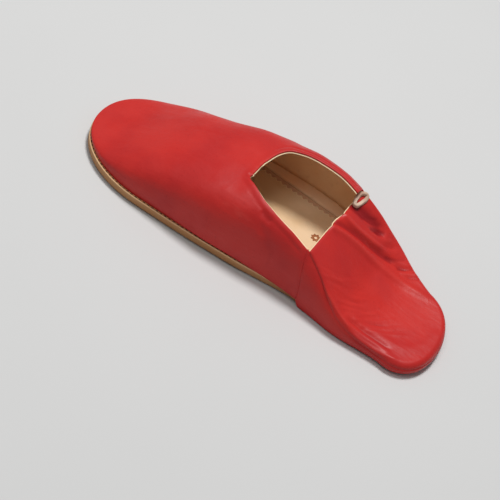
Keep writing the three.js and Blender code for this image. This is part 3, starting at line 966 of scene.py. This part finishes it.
# %% Quarter leather and lining
dress(
    "quarter",
    "back_quarter",
    (quarter_shaped, quarter_faces, quarter_normals),
    gaps=(front_gap, seam_gap),
    lips=(0.5, 0.9),
    # The crease mark sets the painted shade in troughs and the painted highlight on crests, made
    # stronger on the small wrinkles and the fold's crests.
    crease=hand * 0.6 + fine * 1.5 + crest * 1.5,
    red_leather=quarter_red,
    shade=np.zeros(len(quarter_shaped)),
)

# %% [markdown]
# ## The outsole
# Thick hide cut to the foot's outline. In front its margin stands out past the upper and is
# rolled up a little, and a groove there takes the stitches. From the waist back it tucks under.
# The section is one row of points, each so far inside the edge and so high, swept round the
# outline. That keeps the edge round without a bevel modifier.

# %% Section of the outsole
CURL_REACH = 9
UNDERSIDE_CURL = 0.4
SOLE_ROUND = 0.9
SOLE_CORE = 40
GROOVE = {"place": 1.2, "width": 0.45, "height": -0.22}


def curl_rise(x, inside):
    share = np.maximum(0, 1 - inside / CURL_REACH)
    return sole_curl(x) * share * share


def sole_section():
    """Distance inside the edge and height share of the section, from below to above."""
    below = [(gap, 0.0) for gap in (24, 18, 13, 9, 6.5, 4.5, 3.2, 2.2, 1.5)]
    turn = np.linspace(0, math.pi / 2, 6)
    lower = [(SOLE_ROUND * (1 - math.sin(a)), SOLE_ROUND * (1 - math.cos(a))) for a in turn]
    upper = [(gap, SOLE_THICKNESS - z) for gap, z in lower[::-1]]
    across_groove = np.arange(1.1, 5, 0.22)
    top = [(gap, float(SOLE_THICKNESS)) for gap in (*across_groove, 6, 9, 13, 18, 24)]
    return np.array(below + lower + upper + top)


section = sole_section()
print("outsole section:", len(section), "points,", section[:, 1].max(), "mm thick")

# %% Sweep of the outsole
margin = sole_margin(ring_foot_x)[:, None]
edge_x, edge_y = plan_point(sole_ring[:, None], margin, 1)
spine_x = np.clip(edge_x, HEEL_CAP_X, TOE_CAP_X)
across = np.hypot(edge_x - spine_x, edge_y - middle_y(edge_x))
share = np.maximum(0, 1 - section[:, 0] / across)
sole_x, sole_y = plan_point(sole_ring[:, None], margin, share)
inside = np.hypot(edge_x - sole_x, edge_y - sole_y)
face = section[:, 1] / SOLE_THICKNESS
sole_z = section[:, 1] + curl_rise(ring_foot_x[:, None], inside) * lerp(UNDERSIDE_CURL, 1, face)
stitched = smooth_ramp(ring_foot_x, 112, 130)[:, None]
sole_z = sole_z + bead_heights(inside, GROOVE) * stitched * (face == 1) + toe_spring(sole_x)
depth = np.broadcast_to(section[:, 0], sole_z.shape)
level = np.broadcast_to(face, sole_z.shape)
sole_grid = np.stack([sole_x, sole_y, sole_z, depth, level], -1)
centre = np.zeros((len(sole_grid), 1, 5))
centre[:, 0, 0] = np.clip(ring_x, HEEL_CAP_X, TOE_CAP_X)
centre[:, 0, 1] = middle_y(centre[:, 0, 0])
centre[:, 0, 3] = SOLE_CORE
top_centre = centre + np.array([0, 0, SOLE_THICKNESS, 0, 1])
sole_points, sole_faces = weld([np.concatenate([centre, sole_grid, top_centre], 1)])
print("outsole sweep:", len(sole_points), "points")

# %% Painted shade on the sole's rim, and the outsole
depth, level = sole_points[:, 3], sole_points[:, 4]
# Painted shade on the side face, a painted shadow along the lower edge, and painted shade in a
# band under the toe.
side_shade = smooth_ramp(depth, 1.0, 0.1) * smooth_ramp(level, 0.99, 0.8)
bottom_edge_shadow = smooth_ramp(level, 0.3, 0.02) * smooth_ramp(depth, 1.6, 0.6)
toe_underside_shade = smooth_ramp(sole_points[:, 0], 170, 225) * np.exp(-(((depth - 11) / 5) ** 2))
sole_marks = {
    "shade": 0.4 * side_shade + 0.5 * bottom_edge_shadow + 0.5 * toe_underside_shade * (level < 0.1),
    # On the sole the cut mark paints a highlight along the rounded top edge.
    "cut": np.exp(-(((level - 0.93) / 0.06) ** 2)) * (depth < 0.9) * 0.35,
}
sole_mesh = (sole_points[:, :3], sole_faces)
add_piece("outsole_hide", *sole_mesh, sole_tan, "outsole_leather", "outsole", sole_marks)

# %% [markdown]
# ## The insole
# A thin paler hide lies loose on the sole. Its edge is pinked, cut in a zigzag so that it lies
# flat over the lining's turned edge. Eight columns make each tooth, so the teeth are real shape
# and throw their own small shadows, which a zigzag drawn in the shader would not.

# %% Pinked edge
UPPER_WALL = LEATHER + LINING
INSOLE_INSET = 0.6
PINK_PITCH = 4.2
PINK_DEPTH = 1.6
TOOTH_COLUMNS = 8
EDGE_ROUND = 0.35


def teeth(length):
    return round(length / PINK_PITCH) * TOOTH_COLUMNS


toe_arc = math.pi / 2 * (LAST_LENGTH - TOE_CAP_X + float(foot_half(TOE_CAP_X)))
heel_arc = math.pi / 2 * (HEEL_CAP_X + float(foot_half(HEEL_CAP_X)))
insole_ring = ring_places(teeth(TOE_CAP_X - HEEL_CAP_X), teeth(toe_arc), teeth(heel_arc))
tooth = (np.arange(len(insole_ring)) % TOOTH_COLUMNS) / TOOTH_COLUMNS
notch = PINK_DEPTH * (0.5 - 0.5 * np.cos(2 * math.pi * tooth))[:, None]
print(len(insole_ring) // TOOTH_COLUMNS, "teeth round the insole")

# %% Insole
gaps = np.array([24, 18, 13, 9, 6, 4, 2.6, 1.6, 0.9, 0.35, 0])
gaps = np.concatenate([gaps, gaps[::-1]])
is_top = np.arange(len(gaps)) >= len(gaps) // 2
grow = -UPPER_WALL - INSOLE_INSET - gaps - notch * np.maximum(0, 1 - gaps / 2.6)
inner_x, inner_y = plan_point(insole_ring[:, None], grow, 1)
foot_x, _ = plan_point(insole_ring[:, None], 0, 1)
brim_x, brim_y = plan_point(insole_ring[:, None], sole_margin(foot_x), 1)
bed = SOLE_THICKNESS + PIECE_GAP + curl_rise(foot_x, np.hypot(brim_x - inner_x, brim_y - inner_y))
rounding = EDGE_ROUND * np.maximum(0, 1 - gaps / 0.9) ** 2
lift = np.where(is_top, INSOLE_THICKNESS - rounding, rounding)
insole_grid = np.stack([inner_x, inner_y, bed + lift + toe_spring(inner_x)], -1)
core = np.zeros((len(insole_ring), 1, 3))
core[:, 0, 0] = np.clip(foot_x[:, 0], HEEL_CAP_X, TOE_CAP_X)
core[:, 0, 1] = middle_y(core[:, 0, 0])
core[:, 0, 2] = SOLE_THICKNESS + PIECE_GAP
top_core = core + np.array([0, 0, INSOLE_THICKNESS])
insole_points, insole_faces = weld([np.concatenate([core, insole_grid, top_core], 1)])
pinked_edge = insole_grid[:, len(gaps) // 2]
insole_marks = {
    "cut": np.exp(-((edge_gap(insole_points, pinked_edge) / 0.8) ** 2)) * 0.7,
    "shade": smooth_ramp(insole_points[:, 0], 140, 190) * 0.5,
}
insole_mesh = (insole_points, insole_faces)
add_piece("insole_hide", *insole_mesh, insole_tan, "insole_leather", "insole", insole_marks)

# %% [markdown]
# ## The lining's turned edge
# The lining is turned in under the insole, and its tan margin shows between the pinked teeth and
# the wall. It is a thin strip that lies on the sole and climbs the foot of the wall.

# %% Turned lining
TURNED_IN = {
    "inside": (0.9, 1.5, 2.2, 3.2, 6, 9),
    "lift": (2.2, 1.3, 0.6, 0.24, 0.24, 0.24),
}


def turned_lining(form):
    grow = -np.array(form["inside"] + form["inside"][::-1] + form["inside"][:1])
    flat = (0.04,) * len(form["lift"])
    lift = np.array(form["lift"] + flat + form["lift"][:1])
    x, y = plan_point(sole_ring[:, None], grow, 1)
    inside = np.hypot(ring_x[:, None] - x, ring_y[:, None] - y)
    z = SOLE_THICKNESS + curl_rise(ring_foot_x[:, None], inside) + lift + toe_spring(x)
    return weld([np.stack([x, y, z], -1)])


turned_points, turned_faces = turned_lining(TURNED_IN)
turned_marks = {"shade": np.full(len(turned_points), 0.55)}
add_piece(
    "turned_lining", turned_points, turned_faces, lining_tan, "insole_leather", marks=turned_marks
)

# %% [markdown]
# ## A stamp on the insole
# Makers press a small mark into the insole with a hot iron. This one is a plain eight-pointed
# star, a common figure in Moroccan craft, and stands for no maker. It is a thin scorched inlay,
# since a mark drawn in the shader would need the star worked out in nodes.

# %% Stamp


def scorched():
    bench = Bench("scorched_hide", roughness=0.8, specular=0.2)
    blotch = bench.ramp(bench.noise(900, detail=3), 0.35, 0.65)
    bench.colour(bench.mix(blotch, (0.30, 0.10, 0.035), (0.42, 0.17, 0.07)))
    bench.bump(bench.noise(700, detail=5), 0.1, 0.5)
    return bench.material


STAMP = {"x": 103, "y": -17, "points": 8, "outer": 3.6, "inner": 2.6, "hole": 1.0, "proud": 0.08}


def star_inlay(stamp):
    count = stamp["points"] * 2
    angle = 2 * math.pi * np.arange(count + 1) / count
    reach = np.where(np.arange(count + 1) % 2 == 0, stamp["outer"], stamp["inner"])
    level = SOLE_THICKNESS + PIECE_GAP + INSOLE_THICKNESS
    rows = []
    for radius, z in ((stamp["hole"], -0.1), (reach, -0.1), (reach, 1.0), (stamp["hole"], 1.0)):
        x = stamp["x"] + radius * np.cos(angle)
        y = stamp["y"] - radius * np.sin(angle)
        rows.append(np.stack([x, y, np.full(count + 1, level + z * stamp["proud"])], 1))
    rows.append(rows[0])
    return weld([np.stack(rows, 1)])


add_piece("insole_stamp", *star_inlay(STAMP), scorched(), "insole_leather", "insole")

# %% [markdown]
# ## Stitches
# Waxed thread joins upper and sole through the margin, one stitch every three millimetres or so.
# Each stitch is a small bead of thread half sunk in the groove, and a loop sets them out at even
# steps along the true length of the edge. All of them are one mesh, which renders faster than
# a hundred objects.

# %% Waxed thread and the stitch line


def waxed_thread():
    bench = Bench("waxed_thread", roughness=0.5)
    twist = bench.ramp(bench.noise(1600, detail=2), 0.4, 0.6)
    bench.colour(bench.mix(twist, (0.055, 0.016, 0.009), (0.13, 0.045, 0.022)))
    bench.bump(bench.noise(2400, detail=2), 0.05, 0.6)
    return bench.material


STITCH = {"pitch": 3.2, "length": 1.8, "radius": 0.36, "sides": 8, "rings": 6}
STITCH_INSET = GROOVE["place"]
STITCH_FROM_X = 112
STITCH_SINK = 0.1


def stitch_line():
    """Points and directions of the stitches, at even steps along the margin."""
    gap_share = 1 - STITCH_INSET / across[:, 0]
    x, y = plan_point(sole_ring, sole_margin(ring_foot_x), gap_share)
    z = SOLE_THICKNESS + curl_rise(ring_foot_x, STITCH_INSET) + toe_spring(x) - STITCH_SINK
    path = np.stack([x, y, z], 1)[ring_foot_x > STITCH_FROM_X]
    step = np.linalg.norm(np.diff(path, axis=0), axis=1)
    length = np.concatenate([[0], np.cumsum(step)])
    places = np.arange(STITCH["pitch"], length[-1], STITCH["pitch"])
    centre = np.stack([np.interp(places, length, path[:, i]) for i in range(3)], 1)
    ahead = np.stack([np.interp(places + 1, length, path[:, i]) for i in range(3)], 1)
    direction = ahead - centre
    return centre, direction / np.linalg.norm(direction, axis=1, keepdims=True)


print(len(stitch_line()[0]), "stitches in the margin")

# %% Stitches


def stitch_mesh():
    points, faces, start = [], [], 0
    turn = 2 * math.pi * np.arange(STITCH["sides"] + 1) / STITCH["sides"]
    along = np.linspace(0, math.pi, STITCH["rings"] + 1)
    for centre, direction in zip(*stitch_line()):
        level = np.cross(direction, (0, 0, 1))
        upward = np.cross(level, direction)
        radius = (STITCH["radius"] * np.sin(along) ** 0.5)[None, :, None]
        ring = np.cos(turn)[:, None, None] * level + np.sin(turn)[:, None, None] * upward
        bead = centre - direction * (np.cos(along) * STITCH["length"] / 2)[None, :, None]
        bead_points, bead_faces = weld([bead + ring * radius])
        points.append(bead_points)
        faces.append(bead_faces + start)
        start += len(bead_points)
    return np.concatenate(points), np.concatenate(faces)


add_piece("margin_stitches", *stitch_mesh(), waxed_thread(), "outsole_leather")

# %% [markdown]
# ## The pleat at the outer seam
# Where the trodden back pulls on the outer seam, the doubled edge kinks out into a little loop
# and shows its lining. It is a soft ribbon round a closed ring of ten given points. A cloth
# simulation could kink it too, but steering one takes longer than placing ten points.

# %% Pleat
PLEAT_RING = (
    (92.8, -30, 40), (94.2, -32.6, 40.8), (94.4, -36, 41.6), (93.4, -39.2, 42),
    (91.4, -41.2, 41.4), (89.8, -41, 40.2), (89.4, -38.6, 39.6), (90.2, -35.8, 39.4),
    (90.6, -33, 39.4), (91.4, -30.6, 39.4),
)
PLEAT = {"height": 3.0, "thickness": 2.5}
RIBBON_CORNER = 0.6
RIBBON_HANG = 0.35


def smooth_loop(points, count):
    """Closed Catmull-Rom curve through given points."""
    p = np.array(points, float)
    p = np.concatenate([p[-1:], p, p[:2]])
    at = np.linspace(0, len(points) - 1e-9, count)
    i = at.astype(int)
    t = (at - i)[:, None]
    a, b, c, d = p[i], p[i + 1], p[i + 2], p[i + 3]
    way = (c - a) * t + (2 * a - 5 * b + 4 * c - d) * t**2 + (3 * b - a - 3 * c + d) * t**3
    return b + way / 2


def ribbon(path, height, thickness, sides=16):
    """Closed ribbon standing on edge, with rounded corners."""
    ahead = np.roll(path[:-1], -1, 0) - np.roll(path[:-1], 1, 0)
    ahead = np.concatenate([ahead, ahead[:1]])
    ahead /= np.linalg.norm(ahead, axis=1, keepdims=True)
    out = np.cross(ahead, (0, 0, 1))
    out /= np.linalg.norm(out, axis=1, keepdims=True)
    angle = 2 * math.pi * np.arange(sides + 1) / sides
    wide, tall = (
        np.sign(turn) * np.abs(turn) ** RIBBON_CORNER * size / 2
        for turn, size in ((np.cos(angle), thickness), (np.sin(angle), height))
    )
    ring = out[:, None] * wide[None, :, None] + np.array([0, 0, 1]) * tall[None, :, None]
    return weld([path[:, None] + ring - np.array([0, 0, height * RIBBON_HANG])])


pleat_points, pleat_faces = ribbon(smooth_loop(PLEAT_RING, 120), **PLEAT)
pleat_points += 0.5 * ripple(pleat_points, scale=1.6, seed=21)[:, None]
pleat_tan = tan_leather(
    "pleat_lining", (0.66, 0.50, 0.38), (0.46, 0.29, 0.21), (0.24, 0.11, 0.08), 140, 0.7
)
add_piece("collar_pleat", pleat_points, pleat_faces, pleat_tan, "quarter_leather")

# %% [markdown]
# ## Floor
# A plain pale card, barely mottled, that runs out past every view. It is kept a little below
# white, because a white floor throws so much light back up that the low sides lose their depth.

# %% Floor


def floor_card():
    bench = Bench("floor_card", roughness=0.9, specular=0.1)
    bench.colour(bench.mix(bench.noise(6, detail=2), (0.61, 0.61, 0.605), (0.63, 0.63, 0.625)))
    return bench.material


bpy.ops.mesh.primitive_plane_add(size=8, location=(0, 0, -0.0004))
floor = bpy.context.object
floor.name = "studio_floor"
floor.data.materials.append(floor_card())
print(floor.name, "lies", -floor.location.z / MM, "mm below the sole")

# %% [markdown]
# ## Lights
# Most of the light falls from a broad lamp nearly overhead, leaning to the outer side. It fills
# the opening, draws a soft sheen along the vamp and lets the inner side fall into shade. A weak
# wide lamp over the inner side and a dim even room keep that shade readable. A sun would be
# simpler, but its hard shadows don't suit a small soft thing.

# %% Lights
SLIPPER_MIDDLE = (cad_box[0] + cad_box[1]) / 2


def soft_lamp(name, place, size, power):
    lamp = bpy.data.lights.new(name, "AREA")
    lamp.shape = "DISK"
    lamp.size = size
    lamp.energy = power
    lamp_object = bpy.data.objects.new(name, lamp)
    lamp_object.location = place
    aim = SLIPPER_MIDDLE - lamp_object.location
    lamp_object.rotation_euler = aim.to_track_quat("-Z", "Y").to_euler()
    bpy.context.scene.collection.objects.link(lamp_object)


soft_lamp("key_overhead", (0.1, -0.34, 1.6), 0.42, 21)
soft_lamp("sheen_over_inner_side", (0.35, 0.5, 1.5), 0.7, 4)
world = bpy.data.worlds.new("even_room")
world.use_nodes = True
world.node_tree.nodes["Background"].inputs["Color"].default_value = (1, 1, 1, 1)
world.node_tree.nodes["Background"].inputs["Strength"].default_value = 0.22
bpy.context.scene.world = world
bpy.context.scene.view_settings.view_transform = "Standard"
print("lamps:", sorted(lamp.name for lamp in bpy.data.lights))

# %% [markdown]
# ## Camera
# The camera looks down on the inner side from a little behind it, tilted so that the slipper
# lies across the picture. A long lens from about a metre away keeps toe and heel at their true
# proportions. The matrix is built from three plain angles, which are easier to change than a
# rotation typed in as a matrix.

# %% Camera
CAMERA = {"aim": (-0.0054, 0.0393, 0.02), "distance": 0.912, "lens": 108}
CAMERA_DEGREES = {"elevation": 48.1, "from_x_axis": 105.68, "roll": 23.53}


def stand_camera():
    camera = bpy.data.objects.new("camera", bpy.data.cameras.new("camera"))
    camera.data.lens = CAMERA["lens"]
    camera.data.sensor_width = 36
    elevation, turn, roll = (
        math.radians(CAMERA_DEGREES[key]) for key in ("elevation", "from_x_axis", "roll")
    )
    back = np.array([math.cos(turn), math.sin(turn), math.tan(elevation)]) * math.cos(elevation)
    level = np.cross((0, 0, 1), back)
    level /= np.linalg.norm(level)
    upright = np.cross(back, level)
    side = math.cos(roll) * level + math.sin(roll) * upright
    place = np.array(CAMERA["aim"]) + CAMERA["distance"] * back
    pose = np.eye(4)
    pose[:3] = np.stack([side, np.cross(back, side), back, place], 1)
    camera.matrix_world = Matrix(pose.tolist())
    bpy.context.scene.collection.objects.link(camera)
    bpy.context.scene.camera = camera
    print("camera at", place.round(4))


stand_camera()

# %% [markdown]
